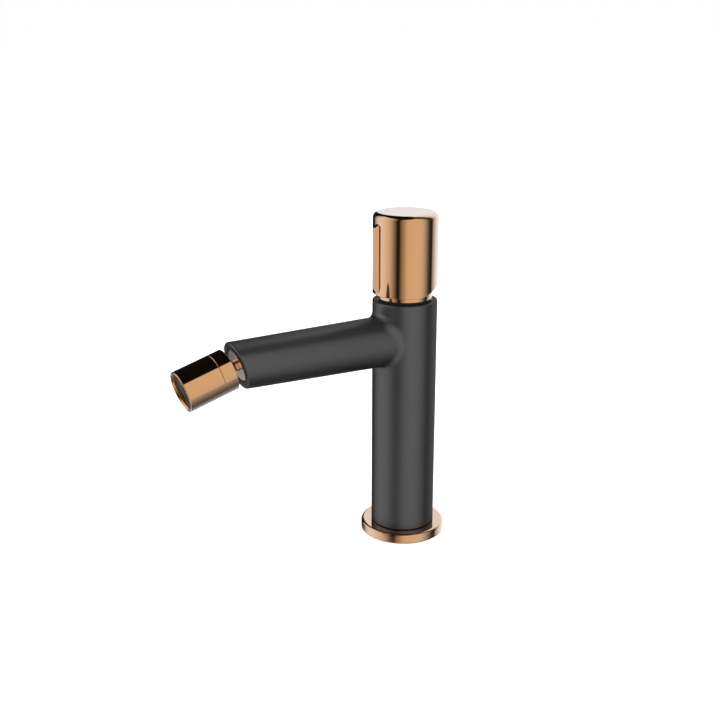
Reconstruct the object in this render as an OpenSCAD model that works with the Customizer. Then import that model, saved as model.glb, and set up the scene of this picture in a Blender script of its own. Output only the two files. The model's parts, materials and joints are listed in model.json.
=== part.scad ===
// Deck-mounted bidet mixer: a slim bar with a tapered spout, a knob that turns and
// tilts, and a swivelling aerator. Millimetres. The origin is the centre of the bar's
// foot on the deck, +Z is up and the spout points along -Y.

/* [Bar] */
// Height of the bar's top above the deck
body_h = 138.2; // [125:0.1:200]
// Diameter of the bar
body_d = 36; // [35.6:0.1:42]
// Rounding of the bar's top edge
body_edge = 0.7; // [0.3:0.1:2]
// Diameter of the foot that stands in the flange
foot_d = 27.9; // [27:0.1:29]
// Diameter of the tapped hole for the fixing stud
stud_hole_d = 6.8; // [5:0.1:7]
// Depth of the fixing stud's hole
stud_hole_depth = 18; // [10:1:30]
// Distance of the fixing stud behind the bar's axis
stud_y = 8.5; // [8:0.1:9.5]
// Diameter of the tapped hole for a water inlet
inlet_d = 9; // [8:0.1:9.2]
// Depth of a water inlet's tapped hole
inlet_depth = 12; // [8:1:20]
// Distance of a water inlet to the side of the axis
inlet_x = 6.1; // [5.8:0.1:6.4]
// Distance of the water inlets in front of the axis
inlet_y = 2.6; // [2.2:0.1:3]
// Diameter of the drilled hot and cold ways
feed_d = 4.4; // [3:0.1:4.6]
// Diameter of the drilled way for mixed water
mixed_d = 4.8; // [3:0.1:5]

/* [Flange] */
// Diameter of the flange
flange_d = 47.8; // [44:0.1:60]
// Height of the flange
flange_h = 5.7; // [4.5:0.1:8]
// Rounding of the flange's top edge
flange_edge = 1.4; // [0.3:0.1:2]
// Clearance round the foot
foot_play = 0.05; // [0.02:0.01:0.1]
// Width of the gasket under the flange
gasket_w = 4; // [2:0.1:4.5]
// Thickness of the gasket
gasket_h = 2.2; // [1:0.1:3]
// Thickness of the joint between the bar and the flange
joint_h = 0.45; // [0.3:0.05:2]
// How far the joint lies inside the bar's wall
joint_inset = 0.7; // [0.2:0.1:1.5]

/* [Spout] */
// Distance of the spout's axis below the bar's top, at the bar's axis
spout_drop = 22.3; // [18:0.1:40]
// Rise of the spout's axis
spout_rise = 0.3; // [0:0.1:6]
// Diameter of the spout where it meets the bar
spout_root_d = 28.2; // [26:0.1:30]
// Diameter of the spout at its end
spout_end_d = 25.4; // [24.6:0.1:28]
// Length of the spout's axis from the bar's axis to the end
spout_len = 103; // [80:0.1:150]
// Angle by which the end and the aerator look down
mouth_tilt = 16.5; // [5:0.5:20]
// Diameter of the waterway in the spout
waterway_d = 18.4; // [12:0.1:19]
// Thickness of the metal between the cartridge and the waterway
waterway_wall = 2.5; // [2:0.1:5]

/* [Cartridge] */
// Diameter of the cartridge
cartridge_d = 24.8; // [24.4:0.1:25]
// Depth of the cartridge's seat below the bar's top
seat_depth = 22.2; // [21.5:0.1:23]
// Clearance of still parts in their seats
seat_play = 0.1; // [0.03:0.01:0.2]
// Clearance of moving parts in their guides
run_play = 0.05; // [0.03:0.01:0.08]
// Wall of the cartridge's housing
housing_wall = 1.1; // [0.8:0.1:1.3]
// Thickness of the cartridge's base
base_t = 4.4; // [4:0.1:5]
// Thickness of the fixed disc
fixed_t = 3.2; // [2.5:0.1:3.5]
// Thickness of the moving disc
moving_t = 3; // [2.5:0.1:3.5]
// Diameter of the moving disc
moving_d = 16.6; // [16:0.1:16.8]
// Height of the disc carrier
carrier_h = 5.8; // [5.5:0.1:6]
// Height of the tilt pin above the cartridge's seat
pin_h = 23.5; // [23:0.1:24]
// Diameter of the tilt pin
pin_d = 2.5; // [2:0.1:3]
// Height of the spindle's ball above the seat
ball_h = 15; // [14.9:0.1:15.3]
// Diameter of the spindle's ball
spindle_ball_d = 5.2; // [4.6:0.1:5.4]
// Width of the square spindle
spindle_w = 6; // [5:0.1:6.4]
// Diameter of the rotor's neck
rotor_neck_d = 17; // [16.4:0.1:17.4]
// Diameter of the housing's neck
housing_neck_d = 20; // [19.6:0.1:20.2]
// How far the nut's thread is wider than the cartridge, on the radius
nut_step = 2.5; // [2.2:0.1:2.6]
// Thickness of the black ring on the bar's top
cap_seal_t = 1.1; // [0.5:0.05:2]
// Wall of the domed cap over the cartridge
cap_wall = 1.4; // [1:0.1:1.6]
// Diameter of the hole in the cap that the spindle swings in
cap_hole_d = 18.4; // [18.2:0.1:20]

/* [Knob] */
// Diameter of the knob
knob_d = 36; // [35.4:0.1:44]
// Height of the knob
knob_h = 44.6; // [40:0.1:60]
// Space between the bar's top and the knob
knob_gap = 3.9; // [3.6:0.1:5]
// Rounding of the knob's top edge
knob_edge = 3.2; // [1:0.1:5]
// Thickness of the knob's wall at its lower rim
knob_rim = 1.6; // [1.2:0.1:1.8]
// Angle of the bevel under the rear half of the knob
bevel_angle = 20.5; // [18:0.5:24]
// How far the knob tilts backward
tilt_max = 20; // [10:1:20]
// Space between the cap's dome and the knob
dome_gap = 0.35; // [0.3:0.01:0.5]
// Diameter of the insert in the knob
insert_d = 12; // [10:0.1:14]
// Diameter of the set screw
set_screw_d = 4.2; // [3:0.1:5]
// Length of the set screw
set_screw_len = 8; // [6:0.5:10]
// Height of the set screw above the tilt pin
set_screw_h = 26.5; // [22:0.1:30]

/* [Fin] */
// Thickness of the fin at the knob
fin_t = 3; // [1.6:0.1:4]
// Thickness of the fin at its outer edge
fin_tip_t = 2; // [1:0.1:4]
// How far the fin stands out from the knob
fin_out = 2.4; // [1.6:0.1:6]
// Depth of the fin's groove in the knob
fin_seat = 0.8; // [0.4:0.1:1]
// Distance of the fin's foot above the knob's lower rim
fin_low = 1; // [0.5:0.1:4]
// Distance of the fin's top below the knob's top
fin_high = 5.2; // [4:0.1:12]
// Slope length of the fin's lower end
fin_low_slope = 3.6; // [1:0.1:6]
// Slope length of the fin's upper end
fin_high_slope = 2; // [1:0.1:6]

/* [Aerator] */
// Diameter of the aerator
aerator_d = 22.2; // [21.6:0.1:24]
// Distance of the aerator's back from the spout's end
aerator_back = 4.4; // [4.2:0.1:7]
// Length of the aerator
aerator_len = 27.4; // [24:0.1:32]
// Length of the rear ring
ring_len = 7.1; // [7:0.1:8.5]
// Rounding of the outlet's edge
outlet_edge = 0.5; // [0.3:0.1:0.6]
// Depth of the grid inside the outlet
outlet_recess = 3.2; // [1:0.1:4]
// Width of the cone inside the outlet's lip
outlet_flare = 0.7; // [0.3:0.1:0.7]
// Diameter of the adapter in the spout's end
adapter_d = 17.6; // [16:0.1:17.6]
// Depth of the adapter's seat
adapter_depth = 8; // [6:0.1:8.5]
// Dark gap round the adapter's head
adapter_gap = 0.2; // [0.1:0.05:0.4]
// Diameter of the neck that carries the ball
neck_d = 6.6; // [6:0.1:8]
// Diameter of the ball
ball_d = 14.8; // [14:0.1:14.8]
// Distance of the ball's centre from the aerator's back
ball_back = 5.8; // [5.6:0.1:6]
// Bore through the stem and the ball
stem_bore_d = 3.6; // [3:0.1:5]
// Thickness of a liner of the ball joint
liner_t = 0.55; // [0.4:0.05:0.6]
// Half angle that the liners leave open at each end
liner_open = 56; // [54:0.5:58]
// Diameter of the opening in the aerator's back
back_hole_d = 13.6; // [13.4:0.1:14]
// Width of a hole in the outlet's grid
grid_hole = 1.3; // [0.8:0.1:1.4]
// Distance between holes in the outlet's grid
grid_pitch = 1.75; // [1.7:0.05:2]

/* [Hidden] */

$fn = 96;
over = 1;            // how far a cut runs past a face
far = 200;           // longer than anything here

// Finishes
rose_gold = [0.82, 0.60, 0.45];
graphite = [0.30, 0.30, 0.31];
black_rubber = [0.08, 0.08, 0.08];
pale_steel = [0.80, 0.77, 0.75];
brass = [0.80, 0.66, 0.36];
ivory = [0.90, 0.88, 0.80];
ceramic_white = [0.95, 0.95, 0.93];
insert_grey = [0.25, 0.28, 0.33];

// Heights along the bar, from the deck up
body_r = body_d / 2;
foot_r = foot_d / 2;
flange_r = flange_d / 2;
flange_bore_r = foot_r + foot_play;
body_z = flange_h + joint_h;
foot_edge = 0.3;
gasket_in_r = (flange_bore_r + flange_r - gasket_w) / 2;
gasket_out_r = gasket_in_r + gasket_w;
spout_z = body_h - spout_drop;
spout_root_at = 16;                      // where the root's diameter is measured
spout_past = 10;                         // how far the spout is drawn before its end is cut
seat_z = body_h - seat_depth;

// The cartridge, from its seat up
cartridge_r = cartridge_d / 2;
chamber_r = cartridge_r + seat_play;
housing_in_r = cartridge_r - housing_wall;
disc_r = housing_in_r - seat_play;
base_lip = 2.4;                          // thickness of the base's flange
carrier_wall = 3.45;                     // from the spindle's ball to the carrier's side
fixed_z = seat_z + base_t;
moving_z = fixed_z + fixed_t;
carrier_z = moving_z + moving_t;
carrier_foot = 1.6;
ball_z = seat_z + ball_h;
pin_z = seat_z + pin_h;
slide_play = 0.2;                        // free height between sliding pieces
cheek_z = carrier_z + carrier_foot + slide_play;
rotor_flange_z = carrier_z + carrier_h + 0.8;
rotor_flange_t = 1.9;
ceiling_z = rotor_flange_z + rotor_flange_t + seat_play;
ceiling_t = 1.8;
shoulder_z = ceiling_z + ceiling_t;
rotor_seal_r = 0.6;                      // thickness of the ring round the rotor, halved
rotor_groove_h = 1.4;
rotor_seal_z = pin_z + pin_d / 2 + 0.8 + rotor_groove_h / 2;
housing_top = rotor_seal_z + rotor_groove_h / 2 + 0.05;
rotor_top = housing_top + 1;
rotor_neck_r = rotor_neck_d / 2;
housing_neck_r = housing_neck_d / 2;
spindle_past = 6;                        // how far the spindle goes past the set screw
spindle_top = pin_z + set_screw_h + spindle_past;
square_rise = 5.2;                       // from the rotor's cheeks to the spindle's square
carrier_half = spindle_ball_d / 2 + carrier_wall;

// The nut and the cap
nut_r = chamber_r + nut_step;
nut_skirt = 5;                           // how far the nut reaches below the shoulder
nut_z = shoulder_z - nut_skirt;
nut_space = 0.5;
nut_thread_top = body_h - 0.2;
collar_wall = 3.3;
collar_r = housing_neck_r + collar_wall;
collar_top = housing_top + 0.5;
cap_z = body_h + cap_seal_t;
cap_r = nut_r + 0.05;
cap_thread_r = collar_r + seat_play / 2;
cap_step_z = collar_top + 0.5;

// The knob; its hollow is a ball round the tilt pin
knob_r = knob_d / 2;
knob_z = body_h + knob_gap;
knob_top = knob_z + knob_h;
hollow_r = norm([knob_r - knob_rim, knob_z - pin_z]);
dome_r = hollow_r - dome_gap;
insert_r = insert_d / 2;
insert_foot = 0.9;                       // from the hollow to the insert
insert_end = 4;                          // thickness of the insert over the spindle
insert_z = pin_z + hollow_r + insert_foot;
insert_top = spindle_top + insert_end;
screw_r = set_screw_d / 2;
screw_z = pin_z + set_screw_h;

// The ports: hot and cold in front of the axis, mixed behind it
disc_port_x = 4.2;
disc_port_y = -inlet_y;
disc_port_r = 2;
disc_out_y = 4.6;
disc_out_r = 2.2;
feed_r = feed_d / 2;
mixed_r = mixed_d / 2;
seat_out_y = 5.6;
port_seal_r = 3.6;
disc_seal_r = 3.2;
seal_t = 1.2;
seal_w = 1.1;
peg_r = 1.2;
peg_h = 2.4;
peg_at = [9, 4.5];
mixed_z = (seat_z + spout_z - spout_root_d / 2) / 2;
waterway_r = waterway_d / 2;
waterway_start = chamber_r + waterway_wall;
mixed_run = 12;                          // how far the mixed way runs under the waterway
mixed_end = waterway_start + mixed_run;
waterway_stop = 6;                       // from the wide waterway's end to the adapter's seat

// The aerator, along its own axis from the spout's end
aerator_r = aerator_d / 2;
adapter_r = adapter_d / 2;
adapter_seat_r = adapter_r + adapter_gap;
adapter_head = 2;
adapter_proud = -0.4;                    // below the spout's end
adapter_seal_t = 1;
stem_thread_r = neck_d / 2 - 0.6;
ball_at = aerator_back + ball_back;
ball_r = ball_d / 2;
liner_r = ball_r + run_play;
cup_r = liner_r + liner_t + run_play;
socket_r = cup_r + liner_t + run_play;
ring_end = aerator_back + ring_len;
aerator_end = aerator_back + aerator_len;
spigot_r = socket_r + 1.05;
spigot_start = ball_at + 0.25;
shell_step_at = 6;                       // from the ball's centre to the shell's inner step
shell_step = ball_at + shell_step_at;
shell_step_t = 1.4;
shell_hole_r = 6;
washer_set = 2.2;                        // from the ball's centre to the seat washer
washer_inset = 0.4;
outlet_r = aerator_r - 1.35;
flare_slope = 0.6;                       // widening of the cone for its depth
insert_play = 0.1;
sleeve_r = outlet_r - insert_play;
sleeve_wall = 1.2;
sleeve_in_r = sleeve_r - sleeve_wall;
washer_at = shell_step + shell_step_t;
washer_t = 1.4;
sleeve_start = washer_at + washer_t;
sleeve_end = aerator_end - outlet_recess;
grid_t = 1.4;
grid_rings = 4;
grid_start = sleeve_end - grid_t;
strainer_at = 0.3;                       // places in the sleeve, from its start
jet_disc_at = 2.1;
screen_t = 0.4;
screen_step = 1;
screens_at = grid_start - 2 * screen_t - screen_step;     // from the spout's end
screen_r = sleeve_in_r - run_play;

// A solid bar with its upper and lower outer edges rounded
module rounded_bar(r, h, top_edge, low_edge) {
    rotate_extrude()
        difference() {
            union() {
                translate([0, low_edge]) square([r, h - low_edge - top_edge]);
                square([r - low_edge, h]);
                square([r - top_edge, h]);
                intersection() {
                    square([r, h]);
                    union() {
                        translate([r - low_edge, low_edge]) circle(low_edge);
                        translate([r - top_edge, h - top_edge]) circle(top_edge);
                    }
                }
            }
            translate([r - top_edge, h]) square([top_edge + over, over]);
        }
}

// A flat ring
module ring(out_r, in_r, h) {
    difference() {
        cylinder(r = out_r, h = h);
        translate([0, 0, -over]) cylinder(r = in_r, h = h + 2 * over);
    }
}

// Places its children on the spout's axis, with +Z along it
module on_spout() {
    translate([0, 0, spout_z]) rotate([90 - spout_rise, 0, 0]) children();
}

// Places its children at the centre of the spout's end, with +Z out of it
module at_mouth() {
    translate([0, -spout_len * cos(spout_rise), spout_z + spout_len * sin(spout_rise)])
        rotate([90 + mouth_tilt, 0, 0]) children();
}

// Places its children to the left and the right of the axis
module at_sides(x, y) {
    for (side = [-1, 1]) translate([side * x, y, 0]) children();
}

module spout_outside() {
    taper = (spout_root_d - spout_end_d) / 2 / (spout_len - spout_root_at);
    reach = spout_len + spout_past;
    difference() {
        on_spout()
            translate([0, 0, 1])
            cylinder(r1 = spout_root_d / 2 + taper * (spout_root_at - 1),
                r2 = spout_end_d / 2 - taper * (reach - spout_len), h = reach - 1);
        at_mouth() translate([-far / 2, -far / 2, 0]) cube([far, far, far]);
    }
}

module waterways() {
    // The cartridge's chamber and the nut's thread above it
    translate([0, 0, seat_z]) cylinder(r = chamber_r, h = far);
    translate([0, 0, nut_z - nut_space]) cylinder(r = nut_r + foot_play, h = far);
    // Inlets and the ways up to the seat
    at_sides(inlet_x, -inlet_y) {
        translate([0, 0, -over]) cylinder(d = inlet_d, h = inlet_depth + over);
        cylinder(r = feed_r, h = seat_z + over);
    }
    // Mixed water goes down behind the axis, forward under the seat and up again
    translate([0, seat_out_y, mixed_z]) cylinder(r = mixed_r, h = seat_z - mixed_z + over);
    translate([0, seat_out_y, mixed_z]) sphere(mixed_r);
    translate([0, seat_out_y, mixed_z]) rotate([90, 0, 0])
        cylinder(r = mixed_r, h = seat_out_y + mixed_end);
    translate([0, -mixed_end, mixed_z]) sphere(mixed_r);
    translate([0, -mixed_end, mixed_z]) cylinder(r = mixed_r, h = spout_z - mixed_z);
    // The spout's waterway, and the adapter's seat in its end
    on_spout() translate([0, 0, waterway_start])
        cylinder(r = waterway_r, h = spout_len - waterway_start - adapter_depth - waterway_stop);
    on_spout() translate([0, 0, waterway_start])
        cylinder(r = adapter_r - 1.5, h = spout_len - waterway_start - adapter_depth / 2);
    at_mouth() translate([0, 0, -adapter_depth])
        cylinder(r = adapter_seat_r, h = adapter_depth + over);
    // The fixing stud's hole and the cartridge's peg holes
    translate([0, stud_y, -over]) cylinder(d = stud_hole_d, h = stud_hole_depth + over);
    at_sides(peg_at[0], peg_at[1])
        translate([0, 0, seat_z - peg_h - slide_play])
        cylinder(r = peg_r + seat_play, h = peg_h + slide_play + over);
}

module body_casting() {
    color(graphite)
    difference() {
        union() {
            cylinder(r = foot_r, h = body_z + over);
            translate([0, 0, body_z])
                rounded_bar(body_r, body_h - body_z, body_edge, foot_edge);
            spout_outside();
        }
        waterways();
    }
}

module base_flange() {
    color(rose_gold)
    difference() {
        rounded_bar(flange_r, flange_h, flange_edge, foot_edge);
        translate([0, 0, -over]) cylinder(r = flange_bore_r, h = flange_h + 2 * over);
        translate([0, 0, -over]) ring(gasket_out_r, gasket_in_r, gasket_h + over);
    }
}

module base_gasket() {
    color(black_rubber) ring(gasket_out_r - foot_play, gasket_in_r + foot_play, gasket_h);
}

module body_seal_ring() {
    color(black_rubber)
        translate([0, 0, flange_h]) ring(body_r - joint_inset, foot_r + foot_play, joint_h);
}

module cartridge_base() {
    spigot_h = base_t - base_lip;
    color(insert_grey)
    difference() {
        union() {
            translate([0, 0, seat_z]) cylinder(r = cartridge_r, h = base_lip);
            translate([0, 0, seat_z]) cylinder(r = housing_in_r - foot_play, h = base_t);
            at_sides(peg_at[0], peg_at[1])
                translate([0, 0, seat_z - peg_h]) cylinder(r = peg_r, h = peg_h + over);
        }
        // Slanted ports lead inward to the smaller ceramic discs
        for (side = [-1, 1])
            translate([side * inlet_x, -inlet_y, seat_z])
            rotate([0, -side * atan((inlet_x - disc_port_x) / base_t), 0])
            cylinder(r = disc_port_r, h = 3 * base_t, center = true);
        translate([0, seat_out_y, seat_z])
            rotate([atan((seat_out_y - disc_out_y) / base_t), 0, 0])
            cylinder(r = disc_out_r, h = 3 * base_t, center = true);
        // Recesses of the seals below and above
        at_sides(inlet_x, -inlet_y)
            translate([0, 0, seat_z - over]) cylinder(r = port_seal_r, h = seal_t + over);
        translate([0, seat_out_y, seat_z - over]) cylinder(r = port_seal_r, h = seal_t + over);
        at_sides(disc_port_x, disc_port_y)
            translate([0, 0, fixed_z - seal_t]) cylinder(r = disc_seal_r, h = seal_t + over);
        translate([0, disc_out_y, fixed_z - seal_t])
            cylinder(r = disc_seal_r, h = seal_t + over);
    }
}

module port_seals() {
    color(black_rubber) {
        at_sides(inlet_x, -inlet_y)
            translate([0, 0, seat_z])
            ring(port_seal_r - foot_play, port_seal_r - seal_w, seal_t);
        translate([0, seat_out_y, seat_z])
            ring(port_seal_r - foot_play, port_seal_r - seal_w, seal_t);
    }
}

module disc_seals() {
    color(black_rubber) {
        at_sides(disc_port_x, disc_port_y)
            translate([0, 0, fixed_z - seal_t])
            ring(disc_seal_r - foot_play, disc_seal_r - seal_w, seal_t);
        translate([0, disc_out_y, fixed_z - seal_t])
            ring(disc_seal_r - foot_play, disc_seal_r - seal_w, seal_t);
    }
}

module fixed_disc() {
    color(ceramic_white)
    difference() {
        translate([0, 0, fixed_z]) cylinder(r = disc_r, h = fixed_t);
        at_sides(disc_port_x, disc_port_y) cylinder(r = disc_port_r, h = far);
        translate([0, disc_out_y, 0]) cylinder(r = disc_out_r, h = far);
    }
}

// The pocket under the moving disc joins an inlet to the outlet when it slides forward
module moving_disc() {
    pocket_r = moving_d / 2 - 1.2;
    pocket_h = moving_t / 2;
    pocket_edge = -0.3;
    color(ceramic_white)
    difference() {
        translate([0, 0, moving_z]) cylinder(d = moving_d, h = moving_t);
        intersection() {
            translate([0, 0, moving_z - over]) cylinder(r = pocket_r, h = pocket_h + over);
            translate([-far / 2, pocket_edge, 0]) cube([far, far, far]);
        }
        at_sides(moving_d / 4, 0) translate([0, 0, carrier_z - seal_t])
            cylinder(r = peg_r + foot_play, h = far);
    }
}

module disc_carrier() {
    pocket = spindle_ball_d + 2 * run_play;
    color(ivory)
    difference() {
        union() {
            translate([0, 0, carrier_z]) cylinder(d = moving_d, h = carrier_foot);
            intersection() {
                translate([0, 0, carrier_z]) cylinder(d = moving_d, h = carrier_h);
                translate([-carrier_half, -far / 2, 0]) cube([2 * carrier_half, far, far]);
            }
            at_sides(moving_d / 4, 0) translate([0, 0, carrier_z - seal_t + slide_play])
                cylinder(r = peg_r, h = seal_t);
        }
        translate([-pocket / 2, -pocket / 2, ball_z - spindle_ball_d / 2 - slide_play])
            cube([pocket, pocket, far]);
    }
}

module cartridge_housing() {
    low_z = seat_z + base_lip;
    color(ivory)
    difference() {
        union() {
            translate([0, 0, low_z]) cylinder(r = cartridge_r, h = shoulder_z - low_z);
            translate([0, 0, low_z]) cylinder(r = housing_neck_r, h = housing_top - low_z);
        }
        translate([0, 0, low_z - over]) cylinder(r = housing_in_r, h = ceiling_z - low_z + over);
        cylinder(r = rotor_neck_r + run_play, h = far);
    }
}

// The slot that the spindle swings in, seen from the side
module swing_slot() {
    half = spindle_w / 2 + 2 * run_play;
    up = rotor_top + over - pin_z;
    down = pin_z - cheek_z + over;
    top_y = (half + up * sin(tilt_max)) / cos(tilt_max);
    low_y = (half + down * sin(tilt_max)) / cos(tilt_max);
    side = half / cos(tilt_max);
    polygon([[-side, pin_z], [-side, rotor_top + over], [top_y, rotor_top + over],
        [side, pin_z], [side, cheek_z - over], [-low_y, cheek_z - over]]);
}

module rotor() {
    slot_w = spindle_w + 4 * run_play;
    groove_r = rotor_neck_r - 1.25;
    cheek_w = 10;
    color(ivory)
    difference() {
        union() {
            translate([0, 0, rotor_flange_z]) cylinder(r = disc_r, h = rotor_flange_t);
            translate([0, 0, rotor_flange_z])
                cylinder(r = rotor_neck_r, h = rotor_top - rotor_flange_z);
            // Two cheeks guide the disc carrier
            intersection() {
                translate([0, 0, cheek_z]) cylinder(r = disc_r, h = rotor_flange_z - cheek_z + over);
                for (side = [0, 180]) rotate([0, 0, side])
                    translate([carrier_half + run_play, -cheek_w / 2, 0]) cube([far, cheek_w, far]);
            }
        }
        rotate([90, 0, 90]) linear_extrude(height = slot_w, center = true) swing_slot();
        translate([0, 0, pin_z]) rotate([0, 90, 0])
            cylinder(d = pin_d, h = far, center = true);
        translate([0, 0, rotor_seal_z - rotor_groove_h / 2])
            ring(rotor_neck_r + over, groove_r, rotor_groove_h);
    }
}

module rotor_seal() {
    color(black_rubber)
        translate([0, 0, rotor_seal_z])
        rotate_extrude() translate([rotor_neck_r - rotor_seal_r, 0]) circle(rotor_seal_r, $fn = 32);
}

module spindle() {
    foot_ball_r = spindle_ball_d / 2;
    square_z = cheek_z + square_rise;
    color(pale_steel)
    difference() {
        union() {
            translate([-spindle_w / 2, -spindle_w / 2, square_z])
                cube([spindle_w, spindle_w, spindle_top - square_z]);
            translate([0, 0, ball_z]) cylinder(r = foot_ball_r - 1, h = square_z - ball_z + over);
            translate([0, 0, ball_z]) sphere(foot_ball_r);
        }
        translate([0, 0, pin_z]) rotate([0, 90, 0])
            cylinder(r = pin_d / 2 + run_play, h = far, center = true);
    }
}

module spindle_pin() {
    color(pale_steel)
        translate([0, 0, pin_z]) rotate([0, 90, 0])
        cylinder(d = pin_d, h = rotor_neck_d - 0.6, center = true);
}

module cartridge_nut() {
    slot_w = 2.4;
    slot_depth = 1.6;
    color(brass)
    difference() {
        union() {
            translate([0, 0, nut_z]) cylinder(r = nut_r, h = nut_thread_top - nut_z);
            translate([0, 0, nut_z]) cylinder(r = collar_r, h = collar_top - nut_z);
        }
        translate([0, 0, nut_z - over])
            cylinder(r = chamber_r + foot_play, h = shoulder_z - nut_z + over);
        cylinder(r = housing_neck_r + seat_play, h = far);
        // Four slots in the collar take a pin wrench
        for (a = [0 : 90 : 270]) rotate([0, 0, a])
            translate([0, -slot_w / 2, collar_top - slot_depth]) cube([far, slot_w, far]);
    }
}

module cap_seal() {
    color(black_rubber)
        translate([0, 0, body_h]) ring(cap_r - 0.3, cap_thread_r, cap_seal_t);
}

// The sleeve that shows under the knob, closed by a dome round the tilt pin
module cap_ring() {
    color(rose_gold)
    rotate_extrude()
        difference() {
            intersection() {
                translate([0, cap_z]) square([cap_r, far]);
                translate([0, pin_z]) circle(dome_r, $fn = 128);
            }
            translate([0, cap_z - over]) square([cap_thread_r, cap_step_z - cap_z + over]);
            intersection() {
                translate([0, cap_step_z - over]) square([far, far]);
                translate([0, pin_z]) circle(dome_r - cap_wall, $fn = 128);
            }
            square([cap_hole_d / 2, far]);
        }
}

module knob_outside() {
    rotate_extrude()
        difference() {
            translate([0, knob_z])
                difference() {
                    union() {
                        square([knob_r, knob_h - knob_edge]);
                        square([knob_r - knob_edge, knob_h]);
                        translate([knob_r - knob_edge, knob_h - knob_edge]) circle(knob_edge);
                    }
                    translate([-far, -far]) square([far, 2 * far]);
                }
            // The hollow over the cap, and the insert's bore
            intersection() {
                translate([0, pin_z]) circle(hollow_r, $fn = 128);
                square([far, far]);
            }
            square([insert_r + foot_play, insert_top + seat_play]);
        }
}

module knob_shell() {
    color(rose_gold)
    difference() {
        knob_outside();
        // Bevel under the rear half
        translate([-far / 2, 0, knob_z]) rotate([bevel_angle, 0, 0])
            translate([0, 0, -far]) cube([far, far, far]);
        // Groove of the fin
        translate([-fin_t / 2, -knob_r - over, knob_z + fin_low])
            cube([fin_t, fin_seat + over, knob_h - fin_low - fin_high]);
        // Hole of the set screw
        translate([0, 0, screw_z]) rotate([-90, 0, 0]) cylinder(r = screw_r, h = far);
    }
}

module grip_fin() {
    low = knob_z + fin_low;
    high = knob_top - fin_high;
    root = knob_r - fin_seat;
    out = knob_r + fin_out;
    color(rose_gold)
        intersection() {
            // Its outline from the side
            rotate([90, 0, -90])
                linear_extrude(height = fin_t + fin_tip_t, center = true)
                polygon([[root, low], [knob_r, low], [out, low + fin_low_slope],
                    [out, high - fin_high_slope], [knob_r, high], [root, high]]);
            // Its outline from above, thinner toward the outer edge
            linear_extrude(height = far)
                polygon([[-fin_t / 2, -root], [-fin_t / 2, -knob_r], [-fin_tip_t / 2, -out],
                    [fin_tip_t / 2, -out], [fin_t / 2, -knob_r], [fin_t / 2, -root]]);
        }
}

module knob_insert() {
    hole = spindle_w + 2 * run_play;
    color(ivory)
    difference() {
        translate([0, 0, insert_z]) cylinder(r = insert_r, h = insert_top - insert_z);
        translate([-hole / 2, -hole / 2, 0]) cube([hole, hole, spindle_top + 0.3]);
        translate([0, 0, screw_z]) rotate([-90, 0, 0]) cylinder(r = screw_r, h = far);
    }
}

module set_screw() {
    socket = set_screw_d * 0.6;
    start = spindle_w / 2;
    color(pale_steel)
        translate([0, 0, screw_z]) rotate([-90, 0, 0])
        difference() {
            translate([0, 0, start]) cylinder(r = screw_r - foot_play, h = set_screw_len);
            translate([0, 0, start + set_screw_len - 2.5])
                cylinder(d = socket / cos(30), h = far, $fn = 6);
        }
}

module spout_adapter() {
    color(pale_steel)
        at_mouth()
        difference() {
            union() {
                translate([0, 0, adapter_seal_t - adapter_depth])
                    cylinder(r = adapter_seat_r - foot_play,
                        h = adapter_depth - adapter_seal_t - adapter_head);
                translate([0, 0, -adapter_head - over])
                    cylinder(r = adapter_r, h = adapter_head + adapter_proud + over);
            }
            translate([0, 0, -far]) cylinder(r = stem_thread_r + foot_play, h = 2 * far);
            translate([0, 0, -far - adapter_depth / 2])
                cylinder(r = stem_thread_r + 2, h = far);
        }
}

module adapter_seal() {
    color(black_rubber)
        at_mouth() translate([0, 0, -adapter_depth])
        ring(adapter_seat_r - foot_play, adapter_seat_r - 1.3, adapter_seal_t);
}

module ball_stem() {
    color(rose_gold)
        at_mouth()
        difference() {
            union() {
                translate([0, 0, -adapter_depth / 2])
                    cylinder(r = stem_thread_r, h = adapter_depth / 2 + over);
                translate([0, 0, adapter_proud])
                    cylinder(d = neck_d, h = ball_at - adapter_proud);
                translate([0, 0, ball_at]) sphere(ball_r);
            }
            translate([0, 0, -far / 2]) cylinder(d = stem_bore_d, h = far);
        }
}

// A spherical belt round the ball, open at both ends
module ball_belt(in_r, t) {
    edge = (in_r + t) * sin(liner_open);
    at_mouth() translate([0, 0, ball_at])
        difference() {
            sphere(in_r + t);
            sphere(in_r);
            cylinder(r = edge, h = far, center = true);
        }
}

module ball_liner() {
    color(ivory) ball_belt(liner_r, liner_t);
}

module ball_cup() {
    color(ivory) ball_belt(cup_r, liner_t);
}

module seat_washer() {
    start = ball_at + washer_set;
    color(black_rubber)
        at_mouth()
        difference() {
            translate([0, 0, start]) cylinder(r = socket_r - foot_play, h = shell_step - start);
            translate([0, 0, ball_at]) sphere(socket_r);
            cylinder(r = shell_hole_r - washer_inset, h = far);
        }
}

module aerator_rear_ring() {
    color(rose_gold)
        at_mouth()
        difference() {
            translate([0, 0, aerator_back]) cylinder(r = aerator_r, h = ring_len);
            cylinder(d = back_hole_d, h = far);
            translate([0, 0, ball_at]) sphere(socket_r);
            translate([0, 0, ball_at]) cylinder(r = socket_r, h = far);
            translate([0, 0, spigot_start - 0.1]) cylinder(r = spigot_r + foot_play, h = far);
        }
}

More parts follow.
